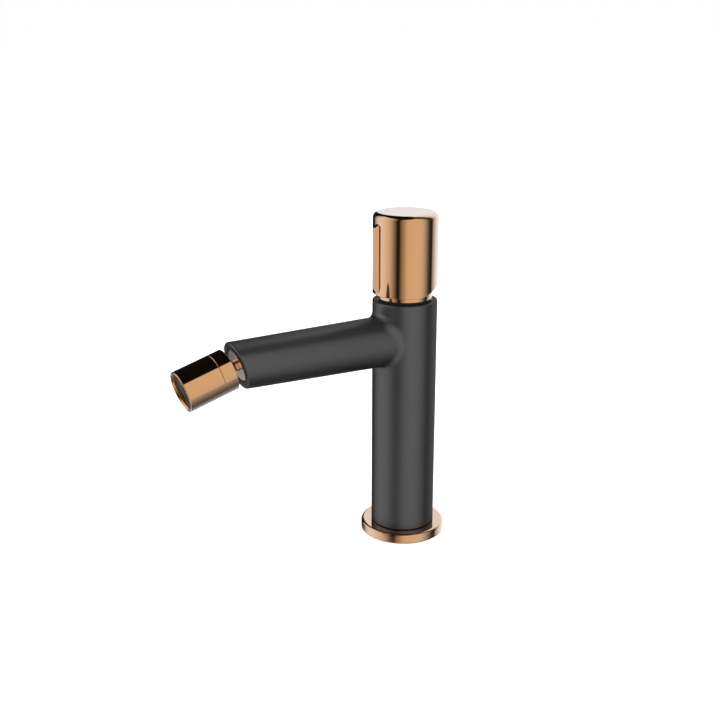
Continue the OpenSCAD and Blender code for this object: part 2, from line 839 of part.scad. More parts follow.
module aerator_shell() {
    front = aerator_len - ring_len;
    color(rose_gold)
        at_mouth()
        difference() {
            union() {
                translate([0, 0, ring_end]) rounded_bar(aerator_r, front, outlet_edge, 0.1);
                translate([0, 0, spigot_start])
                    cylinder(r = spigot_r, h = ring_end - spigot_start + over);
            }
            cylinder(r = shell_hole_r, h = far);
            cylinder(r = socket_r, h = shell_step);
            translate([0, 0, washer_at]) cylinder(r = outlet_r, h = far);
            translate([0, 0, aerator_end - (outlet_flare + foot_play) / flare_slope])
                cylinder(r1 = outlet_r - foot_play, r2 = outlet_r + outlet_flare + over * flare_slope,
                    h = (outlet_flare + foot_play) / flare_slope + over);
        }
}

module aerator_washer() {
    color(black_rubber)
        at_mouth() translate([0, 0, washer_at]) ring(outlet_r - foot_play, shell_hole_r + 1, washer_t);
}

// The sleeve that holds the screens, closed at the outlet by a grid of six-sided holes
module aerator_body() {
    row = grid_pitch * sin(60);
    color(insert_grey)
        at_mouth()
        difference() {
            translate([0, 0, sleeve_start]) cylinder(r = sleeve_r, h = sleeve_end - sleeve_start);
            translate([0, 0, sleeve_start - over])
                cylinder(r = sleeve_in_r, h = grid_start - sleeve_start + over);
            for (j = [-grid_rings : grid_rings])
                for (i = [0 : 2 * grid_rings - abs(j)])
                    translate([j * row, (i - grid_rings + abs(j) / 2) * grid_pitch, 0])
                    cylinder(d = grid_hole / cos(30), h = far, $fn = 6);
        }
}

module aerator_strainer() {
    rim = 1.5;
    color(pale_steel)
        at_mouth() translate([0, 0, sleeve_start + strainer_at])
        difference() {
            cylinder(r = screen_r, h = rim);
            translate([0, 0, 0.5]) cylinder(r = screen_r - 0.8, h = far);
            for (ring_no = [1 : 3])
                for (k = [0 : 6 * ring_no - 1])
                    rotate([0, 0, k * 60 / ring_no])
                    translate([ring_no * 2.1, 0, -over]) cylinder(r = 0.6, h = 3 * over);
        }
}

module jet_disc() {
    holes = 12;
    jet_r = 0.6;
    disc_t = 1;
    color(insert_grey)
        at_mouth() translate([0, 0, sleeve_start + jet_disc_at])
        difference() {
            cylinder(r = screen_r, h = disc_t);
            for (k = [0 : holes - 1])
                rotate([0, 0, k * 360 / holes])
                translate([screen_r * 0.75, 0, -over]) cylinder(r = jet_r, h = far);
        }
}

module mesh_screens() {
    mesh_pitch = 1.6;
    mesh_hole = 1;
    color(pale_steel)
        at_mouth()
        for (k = [0, 1])
            translate([0, 0, screens_at + k * screen_step])
            difference() {
                cylinder(r = screen_r, h = screen_t);
                for (i = [-4 : 4])
                    for (j = [-4 : 4])
                        if (norm([i, j]) < 4.4)
                            translate([i * mesh_pitch, j * mesh_pitch, 0])
                            cube([mesh_hole, mesh_hole, 4 * screen_t], center = true);
            }
}

body_casting();
base_flange();
base_gasket();
body_seal_ring();
cartridge_base();
port_seals();
disc_seals();
fixed_disc();
moving_disc();
disc_carrier();
cartridge_housing();
rotor();
rotor_seal();
spindle();
spindle_pin();
cartridge_nut();
cap_seal();
cap_ring();
knob_shell();
grip_fin();
knob_insert();
set_screw();
spout_adapter();
adapter_seal();
ball_stem();
ball_liner();
ball_cup();
seat_washer();
aerator_rear_ring();
aerator_shell();
aerator_washer();
aerator_body();
aerator_strainer();
jet_disc();
mesh_screens();
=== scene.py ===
import json
import math
import bmesh
import bpy
from mathutils import Matrix, Vector


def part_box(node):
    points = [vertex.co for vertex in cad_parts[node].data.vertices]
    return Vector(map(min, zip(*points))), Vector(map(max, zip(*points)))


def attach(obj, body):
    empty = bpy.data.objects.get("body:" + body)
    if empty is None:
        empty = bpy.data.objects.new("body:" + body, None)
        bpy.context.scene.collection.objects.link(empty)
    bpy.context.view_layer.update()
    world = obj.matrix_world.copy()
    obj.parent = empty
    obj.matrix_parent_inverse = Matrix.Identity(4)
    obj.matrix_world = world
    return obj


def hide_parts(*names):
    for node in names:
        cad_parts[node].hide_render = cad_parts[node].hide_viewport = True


# Bidet mixer: graphite bar and spout, rose-gold flange, knob and swivel aerator.
# Sizes are in millimetres here and turned to metres when a mesh is made.

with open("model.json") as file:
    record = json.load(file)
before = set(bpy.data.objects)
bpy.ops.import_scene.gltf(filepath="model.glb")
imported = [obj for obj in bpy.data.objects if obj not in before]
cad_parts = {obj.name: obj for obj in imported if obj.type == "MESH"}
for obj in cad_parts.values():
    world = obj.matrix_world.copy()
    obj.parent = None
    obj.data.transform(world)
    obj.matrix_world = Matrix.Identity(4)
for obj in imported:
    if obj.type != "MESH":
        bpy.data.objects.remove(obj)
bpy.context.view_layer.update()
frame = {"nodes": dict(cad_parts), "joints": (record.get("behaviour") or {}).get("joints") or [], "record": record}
print("frame loaded:", len(frame["nodes"]), "nodes")

white = (1, 1, 1, 1)
onAxis = 1e-6  # a smaller radius is a point on the axis
sharpFrom = 32  # degrees between two faces from which their edge stays sharp
cutterExtra = 1  # how far a cutter starts outside what it cuts


def boxMm(node):
    low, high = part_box(node)
    return Vector(low) * 1000, Vector(high) * 1000


def jointNamed(name):
    return next(joint for joint in frame["joints"] if joint["name"] == name)


def newObject(name, data):
    made = bpy.data.objects.new(name, data)
    bpy.context.scene.collection.objects.link(made)
    return made


# Materials

def hexToLinear(code):
    # sRGB hex, as a designer writes it, to the linear values that the shader wants.
    parts = [int(code[i:i + 2], 16) / 255 for i in (1, 3, 5)]
    return tuple(c / 12.92 if c <= 0.04045 else ((c + 0.055) / 1.055) ** 2.4 for c in parts) + (1,)


def addNode(tree, kind, settings=None, links=None):
    node = tree.nodes.new(kind)
    for key, value in (settings or {}).items():
        if isinstance(key, int) or key in node.inputs:
            node.inputs[key].default_value = value
        else:
            setattr(node, key, value)
    for key, (source, output) in (links or {}).items():
        tree.links.new(source.outputs[output], node.inputs[key])
    return node


def newMaterial(name, settings):
    material = bpy.data.materials.new(name)
    material.use_nodes = True
    shader = material.node_tree.nodes["Principled BSDF"]
    for key, value in settings.items():
        shader.inputs[key].default_value = value
    return material, material.node_tree, shader


def perMm(size):
    return 1000 / size  # a texture scale that repeats about every so many millimetres


def fineSurface(tree, shader, grain, roughLow, roughHigh, bump, bumpDepth):
    # Roughness that drifts a little from place to place, and a fine relief. Sizes in millimetres.
    place = addNode(tree, "ShaderNodeTexCoord")
    drift = addNode(tree, "ShaderNodeTexNoise", {"Scale": perMm(grain), "Detail": 4.0, "Roughness": 0.6},
                    {"Vector": (place, "Object")})
    spread = addNode(tree, "ShaderNodeMapRange", {
        "From Min": 0.3, "From Max": 0.7, "To Min": roughLow, "To Max": roughHigh}, {"Value": (drift, "Fac")})
    tree.links.new(spread.outputs["Result"], shader.inputs["Roughness"])
    relief = addNode(tree, "ShaderNodeTexNoise", {"Scale": perMm(bump), "Detail": 3.0},
                     {"Vector": (place, "Object")})
    lift = addNode(tree, "ShaderNodeBump", {"Strength": 0.5, "Distance": bumpDepth / 1000},
                   {"Height": (relief, "Fac")})
    tree.links.new(lift.outputs["Normal"], shader.inputs["Normal"])


# Rose-gold PVD on polished brass: a warm mirror, paler at a glance because of its hard clear top film
film = {"roughness": 0.04, "growth": 1.3, "most": 0.8}  # its share grows to the most at a glance
roseGold, tree, shader = newMaterial("roseGoldPvdPolished", {
    "Base Color": hexToLinear("#eaa65d"), "Metallic": 1.0, "Roughness": 0.05,
    "Coat Weight": 1.0, "Coat IOR": 1.9, "Coat Roughness": 0.03})
fineSurface(tree, shader, grain=30, roughLow=0.035, roughHigh=0.06, bump=9, bumpDepth=0.002)
filmShader = addNode(tree, "ShaderNodeBsdfAnisotropic", {"Color": white, "Roughness": film["roughness"]})
glance = addNode(tree, "ShaderNodeLayerWeight", {"Blend": 0.5})
curve = addNode(tree, "ShaderNodeMath", {"operation": "POWER", 1: film["growth"]}, {0: (glance, "Facing")})
share = addNode(tree, "ShaderNodeMath", {"operation": "MULTIPLY", 1: film["most"]}, {0: (curve, 0)})
filmed = addNode(tree, "ShaderNodeMixShader", {}, {0: (share, 0), 1: (shader, 0), 2: (filmShader, 0)})
tree.links.new(filmed.outputs[0], tree.nodes["Material Output"].inputs["Surface"])

# Graphite PVD on bead-blasted brass: dark metal with a silky, blurred sheen
graphite, tree, shader = newMaterial("graphitePvdSatin", {
    "Base Color": hexToLinear("#646465"), "Metallic": 0.93, "Roughness": 0.36,
    "Specular Tint": hexToLinear("#a6a6a6")})
fineSurface(tree, shader, grain=14, roughLow=0.34, roughHigh=0.39, bump=0.35, bumpDepth=0.006)

# Polished stainless steel: a neutral mirror whose base colour is tinted slightly warm, a painted reflection of the
# rose gold it faces
steel, tree, shader = newMaterial("stainlessSteelPolished", {
    "Base Color": hexToLinear("#e3d5cf"), "Metallic": 1.0, "Roughness": 0.12})
fineSurface(tree, shader, grain=12, roughLow=0.1, roughHigh=0.16, bump=4, bumpDepth=0.001)

# Turned brass, left bare inside: yellow metal with fine tool marks
brass, tree, shader = newMaterial("brassTurned", {
    "Base Color": hexToLinear("#c9a35c"), "Metallic": 1.0, "Roughness": 0.3})
fineSurface(tree, shader, grain=6, roughLow=0.26, roughHigh=0.34, bump=0.5, bumpDepth=0.004)

# EPDM rubber: black, matt, faintly grained by its mould
rubber, tree, shader = newMaterial("epdmRubberMoulded", {
    "Base Color": hexToLinear("#161616"), "Roughness": 0.6, "IOR": 1.52})
fineSurface(tree, shader, grain=3, roughLow=0.55, roughHigh=0.68, bump=0.3, bumpDepth=0.01)

# Acetal: the ivory slippery plastic of cartridges and liners, moulded
acetal, tree, shader = newMaterial("acetalMoulded", {
    "Base Color": hexToLinear("#e6e1d2"), "Roughness": 0.4, "IOR": 1.48})
fineSurface(tree, shader, grain=5, roughLow=0.36, roughHigh=0.46, bump=0.6, bumpDepth=0.006)

# Polypropylene of the aerator's insert: blue-grey, half matt, moulded
insertPlastic, tree, shader = newMaterial("polypropyleneBlueGrey", {
    "Base Color": hexToLinear("#3a414c"), "Roughness": 0.42, "IOR": 1.49})
fineSurface(tree, shader, grain=4, roughLow=0.38, roughHigh=0.48, bump=0.5, bumpDepth=0.006)

# Lapped alumina: hard white ceramic, flat and slightly shiny
alumina, tree, shader = newMaterial("aluminaLapped", {
    "Base Color": hexToLinear("#efeeea"), "Roughness": 0.15, "IOR": 1.76})
fineSurface(tree, shader, grain=8, roughLow=0.12, roughHigh=0.2, bump=1, bumpDepth=0.001)

finishOfSlot = {
    "rose_gold": roseGold, "graphite": graphite, "pale_steel": steel, "brass": brass,
    "black_rubber": rubber, "ivory_plastic": acetal, "grey_plastic": insertPlastic, "alumina": alumina}
slotOfNode = {part["node"]: part["material_slot"] for part in frame["record"]["subparts"]}
for nodeName, nodeObject in frame["nodes"].items():
    nodeObject.data.materials.clear()
    nodeObject.data.materials.append(finishOfSlot[slotOfNode[nodeName]])
print("materials made:", len(finishOfSlot))


# Mesh tools

def fullTurn(count):
    return [2 * math.pi * i / count for i in range(count)]


def roundedOutline(corners, steps=8, closed=False, support=0.18):
    # Turns (radius, height, rounding) corners into points, with arcs at the rounded ones and a point close
    # beside each arc so that flat faces stay flat in the shading.
    count = len(corners)
    points = []
    for i, (r, z, rounding) in enumerate(corners):
        here = Vector((r, z))
        atEnd = not closed and i in (0, count - 1)
        if rounding <= 0 or atEnd:
            points.append(here)
            continue
        before = Vector(corners[i - 1][:2]) - here
        after = Vector(corners[(i + 1) % count][:2]) - here
        lengthBefore, lengthAfter = before.length, after.length
        before.normalize()
        after.normalize()
        half = before.angle(after) / 2
        reach = rounding / math.tan(half)
        centre = here + (before + after).normalized() * (rounding / math.sin(half))
        start, end = here + before * reach, here + after * reach
        if lengthBefore > reach + 2 * support:
            points.append(start + before * support)
        a, b = start - centre, end - centre
        turn = math.pi - 2 * half
        for k in range(steps + 1):
            t = k / steps
            points.append(centre + (a * math.sin((1 - t) * turn) + b * math.sin(t * turn)) / math.sin(turn))
        if lengthAfter > reach + 2 * support:
            points.append(end + after * support)
    return points


def stitch(bm, rowA, rowB, wrap=True):
    # Faces between two rows of vertices; a row of one vertex is a pole.
    count = max(len(rowA), len(rowB))
    last = count if wrap else count - 1
    for i in range(last):
        j = (i + 1) % count
        corners = []
        for vert in (rowA[i % len(rowA)], rowA[j % len(rowA)], rowB[j % len(rowB)], rowB[i % len(rowB)]):
            if vert not in corners:
                corners.append(vert)
        if len(corners) > 2:
            bm.faces.new(corners)


def turnedMesh(corners, segments, closed):
    # What a lathe makes of the corners. A closed outline is the section of a ring, an open one starts and
    # ends on the axis.
    bm = bmesh.new()
    turns = fullTurn(segments)
    rows = []
    for r, z in roundedOutline(corners, closed=closed):
        if r < onAxis:
            rows.append([bm.verts.new((0, 0, z))])
        else:
            rows.append([bm.verts.new((r * math.cos(turn), r * math.sin(turn), z)) for turn in turns])
    nextRows = rows[1:] + rows[:1] if closed else rows[1:]
    for rowA, rowB in zip(rows, nextRows):
        stitch(bm, rowA, rowB)
    return bm


def meshObject(name, bm, place):
    # Makes an object of the mesh in hand: faces outward, put in its place, in metres.
    bmesh.ops.recalc_face_normals(bm, faces=bm.faces)
    for vert in bm.verts:
        vert.co = (place @ vert.co) / 1000
    mesh = bpy.data.meshes.new(name)
    bm.to_mesh(mesh)
    bm.free()
    return newObject(name, mesh)


def finishMesh(name, bm, place, body, slotName, sharpAngle=sharpFrom):
    piece = meshObject(name, bm, place)
    mesh = piece.data
    mesh.polygons.foreach_set("use_smooth", [True] * len(mesh.polygons))
    mesh.set_sharp_from_angle(angle=math.radians(sharpAngle))
    mesh.materials.append(finishOfSlot[slotName])
    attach(piece, body)
    return piece


def lathe(name, corners, body, slotName, place=None, segments=256):
    return finishMesh(name, turnedMesh(corners, segments, closed=True), place or Matrix(), body, slotName)


def cutter(corners, place, segments=64):
    return meshObject("cutter", turnedMesh(corners, segments, closed=False), place)


def cutWith(piece, cutters):
    # Takes the cutters' volumes out of the piece, then marks its sharp edges again.
    for tool in cutters:
        modifier = piece.modifiers.new("cut", "BOOLEAN")
        modifier.operation = "DIFFERENCE"
        modifier.solver = "EXACT"
        modifier.object = tool
        with bpy.context.temp_override(object=piece, active_object=piece):
            bpy.ops.object.modifier_apply(modifier=modifier.name)
        bpy.data.objects.remove(tool)
    piece.data.set_sharp_from_angle(angle=math.radians(sharpFrom))


# Places that several pieces share, read from the frame
barHigh = boxMm("body_casting")[1]
flangeHigh = boxMm("base_flange")[1]
sealHigh = boxMm("body_seal_ring")[1]
knobLow, knobHigh = boxMm("knob_shell")
capLow, capHigh = boxMm("cap_ring")
pin = Vector(jointNamed("knob_tilt")["pos_m"]) * 1000
spin = jointNamed("aerator_spin")
ball = Vector(spin["pos_m"]) * 1000
nozzleAxis = Vector(spin["axis"]).normalized()
ballAt = 10.2  # the ball's distance in front of the spout's end
mouth = ball - nozzleAxis * ballAt
nozzleUp = Vector((1, 0, 0)).cross(nozzleAxis) * -1
atMouth = Matrix((
    (1, nozzleUp.x, nozzleAxis.x, mouth.x),
    (0, nozzleUp.y, nozzleAxis.y, mouth.y),
    (0, nozzleUp.z, nozzleAxis.z, mouth.z),
    (0, 0, 0, 1)))

# Bar and spout, one casting with a blended joint

bar = {
    "radius": barHigh.x, "top": barHigh.z, "bottom": sealHigh.z, "topEdge": 0.7, "bottomEdge": 0.2,
    "footRadius": 13.95, "footEdge": 0.2, "threadRadius": 15.05, "threadBottom": 131.7, "threadEdge": 0.15,
    "chamberRadius": 12.55, "seat": 116.0, "innerEdge": 0.1,
    "spoutHeight": 115.9, "spoutRise": 0.3, "spoutLength": 103.0, "rootRadius": 14.1, "rootAt": 16,
    "endRadius": 12.7, "endEdge": 1.0, "endSteps": 6, "rootWithin": (2, 40), "endWithin": (60, 150),
    "coneRings": 14, "firstRing": 0.004, "lastRing": 0.998,
    "blendTop": 3.2, "blendSide": 6.0, "blendBottom": 0.7, "blendGrowth": 1.6, "blendSteps": 10,
    "adapterSeatRadius": 9.0, "adapterSeatDepth": 8.0, "adapterSeatRing": 0.5, "adapterSeatEdge": 0.15,
    "adapterSeatLine": 0.4,
    "columns": 160, "restColumns": 150, "patchHalfTurn": 66, "patchHalfHeight": 19.8, "patchMiddle": 116.2,
    "lineAbove": 0.2, "lineBelow": 2, "patchRings": (0.82, 0.62, 0.42, 0.26, 0.14, 0.06, 0.015),
    "inletRadius": 4.5, "inletDepth": 12, "inletChamfer": 0.6, "inletTip": 2.6, "inletPlace": (6.1, -2.6),
    "studRadius": 3.4, "studDepth": 18, "studChamfer": 0.5, "studTip": 2, "studY": 8.5}


def spoutPoint(s, turn):
    # A point on the spout's cone and its outward normal, at s along its axis.
    rise = math.radians(bar["spoutRise"])
    along = Vector((0, -math.cos(rise), math.sin(rise)))
    up = Vector((0, math.sin(rise), math.cos(rise)))
    taper = (bar["rootRadius"] - bar["endRadius"]) / (bar["spoutLength"] - bar["rootAt"])
    radius = bar["rootRadius"] - taper * (s - bar["rootAt"])
    outward = Vector((math.cos(turn), 0, 0)) + up * math.sin(turn)
    point = Vector((0, 0, bar["spoutHeight"])) + along * s + outward * radius
    return point, (outward + along * taper).normalized()


def solve(function, low, high, halvings=50):
    # The root of a function that changes sign between low and high.
    sign = function(low) > 0
    for _ in range(halvings):
        middle = (low + high) / 2
        if (function(middle) > 0) == sign:
            low = middle
        else:
            high = middle
    return (low + high) / 2


def buildBar():
    bm = bmesh.new()
    radius, columns = bar["radius"], bar["columns"]
    quarter = columns // 4
    turns = fullTurn(columns)

    def onWall(turn, z, r=radius):
        # turn 0 faces the spout
        return bm.verts.new((r * math.sin(turn), -r * math.cos(turn), z))

    # Lines of the wall's grid: those that cross the spout's patch are spaced to fit its ring
    halfTurn, halfHeight = math.radians(bar["patchHalfTurn"]), bar["patchHalfHeight"]
    spread = [math.tan(math.pi / 4 * (2 * i / quarter - 1)) for i in range(quarter + 1)]
    patchTurns = [halfTurn * t for t in spread]
    restCount = bar["restColumns"]
    restTurns = [halfTurn + (2 * math.pi - 2 * halfTurn) * i / restCount for i in range(1, restCount)]
    patchHeights = [bar["patchMiddle"] + halfHeight * t for t in spread]
    wallTurns = patchTurns + restTurns

    # The wall beside the patch; over the patch's own columns only its lowest and highest points
    wall = []
    for i, turn in enumerate(wallTurns):
        inside = 0 < i < quarter
        heights = [patchHeights[0], patchHeights[-1]] if inside else patchHeights
        wall.append([onWall(turn, z) for z in heights])
    beside = [quarter + k for k in range(restCount)] + [0]
    for a, b in zip(beside, beside[1:]):
        stitch(bm, wall[a], wall[b], wrap=False)

    # From there up over the top edge and down to the cartridge's seat, and down to the foot
    def addRows(outline, row):
        for r, z in outline:
            nextRow = [bm.verts.new((0, 0, z))] if r < onAxis else [onWall(turn, z, r) for turn in wallTurns]
            stitch(bm, row, nextRow)
            row = nextRow

    inner = bar["innerEdge"]
    addRows(roundedOutline([
        (radius, patchHeights[-1] + bar["lineAbove"], 0), (radius, bar["top"], bar["topEdge"]),
        (bar["threadRadius"], bar["top"], bar["threadEdge"]), (bar["threadRadius"], bar["threadBottom"], inner),
        (bar["chamberRadius"], bar["threadBottom"], inner), (bar["chamberRadius"], bar["seat"], inner),
        (0, bar["seat"], 0)]), [column[-1] for column in wall])
    addRows(roundedOutline([
        (radius, patchHeights[0] - bar["lineBelow"], 0), (radius, bar["bottom"], bar["bottomEdge"]),
        (bar["footRadius"], bar["bottom"], inner), (bar["footRadius"], 0, bar["footEdge"]),
        (0, 0, 0)]), [column[0] for column in wall])

    # The patch: its outer ring is the wall's grid, its inner ring is where the blend begins
    patchRing = []
    for i in range(columns):
        side, k = divmod((i + quarter // 2) % columns, quarter)
        if side == 0:
            patchRing.append((patchTurns[-1], patchHeights[k], wall[quarter][k]))
        elif side == 1:
            patchRing.append((patchTurns[quarter - k], patchHeights[-1], wall[quarter - k][-1]))
        elif side == 2:
            patchRing.append((patchTurns[0], patchHeights[quarter - k], wall[0][quarter - k]))
        else:
            patchRing.append((patchTurns[k], patchHeights[0], wall[k][0]))

    blends = []
    for turn in turns:
        lift = (1 + math.sin(turn)) / 2
        size = bar["blendBottom"] + (bar["blendTop"] - bar["blendBottom"]) * min(1, lift * bar["blendGrowth"])
        size += bar["blendSide"] * math.cos(turn) ** 2  # the casting flows most softly into its sides

        def outside(s):
            point, normal = spoutPoint(s, turn)
            centre = point + normal * size
            return math.hypot(centre.x, centre.y) - radius - size

        s = solve(outside, *bar["rootWithin"])
        point, normal = spoutPoint(s, turn)
        centre = point + normal * size
        radial = Vector((centre.x, centre.y, 0)).normalized()
        blends.append((s, centre, size, -radial, -normal))

    starts = [centre + toWall * size for s, centre, size, toWall, toSpout in blends]
    outer = [vert for turn, z, vert in patchRing]
    for t in bar["patchRings"]:
        row = []
        for (turnOut, zOut, vert), start in zip(patchRing, starts):
            turnIn = math.atan2(start.x, -start.y)
            row.append(onWall(turnIn + (turnOut - turnIn) * t, start.z + (zOut - start.z) * t))
        stitch(bm, outer, row)
        outer = row
    for k in range(bar["blendSteps"] + 1):
        row = [bm.verts.new(centre + toWall.slerp(toSpout, k / bar["blendSteps"]) * size)
               for s, centre, size, toWall, toSpout in blends]
        stitch(bm, outer, row)
        outer = row

    # The spout's cone, its rounded mitred end and the adapter's seat
    edge = bar["endEdge"]
    ends = []
    for turn in turns:
        def beyond(s):
            point, normal = spoutPoint(s, turn)
            return (point - normal * edge - mouth).dot(nozzleAxis) + edge

        s = solve(beyond, *bar["endWithin"])
        point, normal = spoutPoint(s, turn)
        ends.append((s, point - normal * edge, normal))
    between = [k / bar["coneRings"] for k in range(1, bar["coneRings"])]
    for t in [bar["firstRing"], *between, bar["lastRing"]]:
        row = [bm.verts.new(spoutPoint(blend[0] + (end[0] - blend[0]) * t, turn)[0])
               for blend, end, turn in zip(blends, ends, turns)]
        stitch(bm, outer, row)
        outer = row
    for k in range(bar["endSteps"] + 1):
        row = [bm.verts.new(centre + normal.slerp(nozzleAxis, k / bar["endSteps"]) * edge)
               for s, centre, normal in ends]
        stitch(bm, outer, row)
        outer = row
    seatRadius, depth, seatEdge = bar["adapterSeatRadius"], bar["adapterSeatDepth"], bar["adapterSeatEdge"]
    for r, z in ((seatRadius + bar["adapterSeatRing"], 0), (seatRadius + seatEdge, 0), (seatRadius, -seatEdge),
                 (seatRadius, -bar["adapterSeatLine"]), (seatRadius, -depth), (0, -depth)):
        row = [bm.verts.new(atMouth @ Vector((r * math.cos(turn), r * math.sin(turn), z)))
               for turn in (turns if r > 0 else [0])]
        stitch(bm, outer, row)
        outer = row
    return finishMesh("barAndSpout", bm, Matrix(), "mixer_body", "graphite")


def drill(radius, depth, chamfer, tip, x, y):
    # A cutter for a hole from below, with a chamfered mouth and the point that a drill leaves.
    return cutter([(0, -cutterExtra, 0), (radius + chamfer, -cutterExtra, 0), (radius + chamfer, 0, 0),
                   (radius, chamfer, 0), (radius, depth, 0), (0, depth + tip, 0)],
                  Matrix.Translation((x, y, 0)))


barAndSpout = buildBar()
inletX, inletY = bar["inletPlace"]
holes = [drill(bar["inletRadius"], bar["inletDepth"], bar["inletChamfer"], bar["inletTip"], x, inletY)
         for x in (-inletX, inletX)]
holes.append(drill(bar["studRadius"], bar["studDepth"], bar["studChamfer"], bar["studTip"], 0, bar["studY"]))
cutWith(barAndSpout, holes)
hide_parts("body_casting")
print("bar and spout built:", len(barAndSpout.data.vertices), "points")

# Flange

flange = {"radius": flangeHigh.x, "height": flangeHigh.z, "bore": 14.0, "boreEdge": 0.2, "topEdge": 1.4,
          "lowEdge": 0.6, "grooveIn": 16.95, "grooveOut": 20.95, "grooveDepth": 2.2, "grooveEdge": 0.1,
          "segments": 320}
baseFlange = lathe("baseFlange", [
    (flange["bore"], 0, flange["boreEdge"]), (flange["grooveIn"], 0, flange["grooveEdge"]),
    (flange["grooveIn"], flange["grooveDepth"], flange["grooveEdge"]),
    (flange["grooveOut"], flange["grooveDepth"], flange["grooveEdge"]),
    (flange["grooveOut"], 0, flange["grooveEdge"]), (flange["radius"], 0, flange["lowEdge"]),
    (flange["radius"], flange["height"], flange["topEdge"]),
    (flange["bore"], flange["height"], flange["boreEdge"])],
    "mixer_body", "rose_gold", segments=flange["segments"])
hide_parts("base_flange")
print("flange built")

# Cap ring under the knob. Its dome and the knob's hollow are spheres round the tilt pin.

knobRim = 1.6  # the width left flat under the knob, outside its hollow
hollowRadius = math.hypot(knobHigh.x - knobRim, knobLow.z - pin.z)
domeGap = 0.35  # between the knob's hollow and the cap's dome
cap = {"radius": capHigh.x, "bottom": capLow.z, "lowEdge": 0.25, "threadRadius": 13.35, "threadTop": 144.1,
       "threadEdge": 0.15, "domeRadius": hollowRadius - domeGap, "wall": 1.4, "hole": 9.2,
       "outerSteps": 16, "innerSteps": 12}


def domeArc(radius, fromRadius, toRadius, steps):
    # Points on a sphere round the tilt pin, from one distance off the axis to another.
    a, b = math.asin(fromRadius / radius), math.asin(toRadius / radius)
    return [(radius * math.sin(a + (b - a) * k / steps), pin.z + radius * math.cos(a + (b - a) * k / steps), 0)
            for k in range(steps + 1)]


innerDome = cap["domeRadius"] - cap["wall"]
stepRadius = math.sqrt(innerDome ** 2 - (cap["threadTop"] - pin.z) ** 2)
capRing = lathe("capRing", [
    (cap["threadRadius"], cap["bottom"], cap["threadEdge"]), (cap["radius"], cap["bottom"], cap["lowEdge"])]
    + domeArc(cap["domeRadius"], cap["radius"], cap["hole"], cap["outerSteps"])
    + domeArc(innerDome, cap["hole"], stepRadius, cap["innerSteps"])
    + [(cap["threadRadius"], cap["threadTop"], 0)], "mixer_body", "rose_gold")
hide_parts("cap_ring")
print("cap ring built")

# Knob: turned, with a bevel under its rear half and a hollow round the tilt pin

knob = {"radius": knobHigh.x, "bottom": knobLow.z, "top": knobHigh.z, "topEdge": 3.2, "rimEdge": 0.3,
        "bevel": 20.5, "hollowSteps": 24, "bore": 6.05, "boreTop": 176.2, "boreEdge": 0.2, "boreLip": 0.3,
        "columns": 320, "edgeSteps": 10, "screwRadius": 2.1, "screwHeight": pin.z + 26.5,
        "screwChamfer": 0.35, "screwSegments": 96}


def buildKnob():
    bm = bmesh.new()
    rows = None
    slope = math.tan(math.radians(knob["bevel"]))
    for turn in fullTurn(knob["columns"]):
        rise = slope * max(0, math.sin(turn))
        # Where the rim's line meets the hollow: r * r + (low + rise * r) ** 2 = hollowRadius ** 2
        low = knob["bottom"] - pin.z
        half = rise * low
        whole = 1 + rise * rise
        rimIn = (-half + math.sqrt(half * half - whole * (low * low - hollowRadius ** 2))) / whole
        arc = domeArc(hollowRadius, knob["bore"], rimIn, knob["hollowSteps"])
        corners = ([(0, knob["boreTop"], 0), (knob["bore"], knob["boreTop"], knob["boreEdge"]),
                    (knob["bore"], arc[0][1] + knob["boreLip"], 0)]
                   + arc[:-1]
                   + [(rimIn, knob["bottom"] + rise * rimIn, 0),
                      (knob["radius"], knob["bottom"] + rise * knob["radius"], knob["rimEdge"]),
                      (knob["radius"], knob["top"], knob["topEdge"]), (0, knob["top"], 0)])
        outline = roundedOutline(corners, steps=knob["edgeSteps"])
        if rows is None:
            rows = [[] for point in outline]
        for row, (r, z) in zip(rows, outline):
            if r > onAxis or not row:
                row.append(bm.verts.new((r * math.cos(turn), r * math.sin(turn), z)))
    for rowA, rowB in zip(rows, rows[1:]):
        stitch(bm, rowA, rowB)
    return finishMesh("knobShell", bm, Matrix(), "lever", "rose_gold")


knobShell = buildKnob()
backward = Matrix.Translation((0, 0, knob["screwHeight"])) @ Matrix.Rotation(math.radians(-90), 4, "X")
screwStart, chamfer = knob["bore"] - cutterExtra, knob["screwChamfer"]
cutWith(knobShell, [cutter([
    (0, screwStart, 0), (knob["screwRadius"], screwStart, 0),
    (knob["screwRadius"], knob["radius"] - chamfer, 0),
    (knob["screwRadius"] + 2 * chamfer, knob["radius"] + chamfer, 0),
    (0, knob["radius"] + chamfer, 0)], backward, segments=knob["screwSegments"])])
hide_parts("knob_shell")
print("knob built:", len(knobShell.data.vertices), "points")

# Fin on the knob's front

fin = {"rootThickness": 3.0, "tipThickness": 2.0, "seat": 0.3, "out": 2.4, "low": 1.0, "high": 5.2,
       "lowSlope": 3.6, "highSlope": 2.0, "edge": 0.22, "edgeSteps": 4, "sharpFrom": 40}


def buildFin():
    low, high = knob["bottom"] + fin["low"], knob["top"] - fin["high"]
    root, out = knob["radius"] - fin["seat"], knob["radius"] + fin["out"]
    outline = [(root, low), (out, low + fin["lowSlope"]), (out, high - fin["highSlope"]), (root, high)]
    bm = bmesh.new()
    sides = []
    for side in (-0.5, 0.5):
        sides.append([bm.verts.new((side * (fin["tipThickness"] if y == out else fin["rootThickness"]), -y, z))
                      for y, z in outline])
    for side in sides:
        bm.faces.new(side)
    stitch(bm, sides[0], sides[1])
    bmesh.ops.bevel(bm, geom=bm.edges[:], offset=fin["edge"], segments=fin["edgeSteps"], profile=0.5,
                    affect="EDGES")
    return finishMesh("gripFin", bm, Matrix(), "lever", "rose_gold", sharpAngle=fin["sharpFrom"])


gripFin = buildFin()
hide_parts("grip_fin")
print("fin built")

# Spout adapter and ball stem

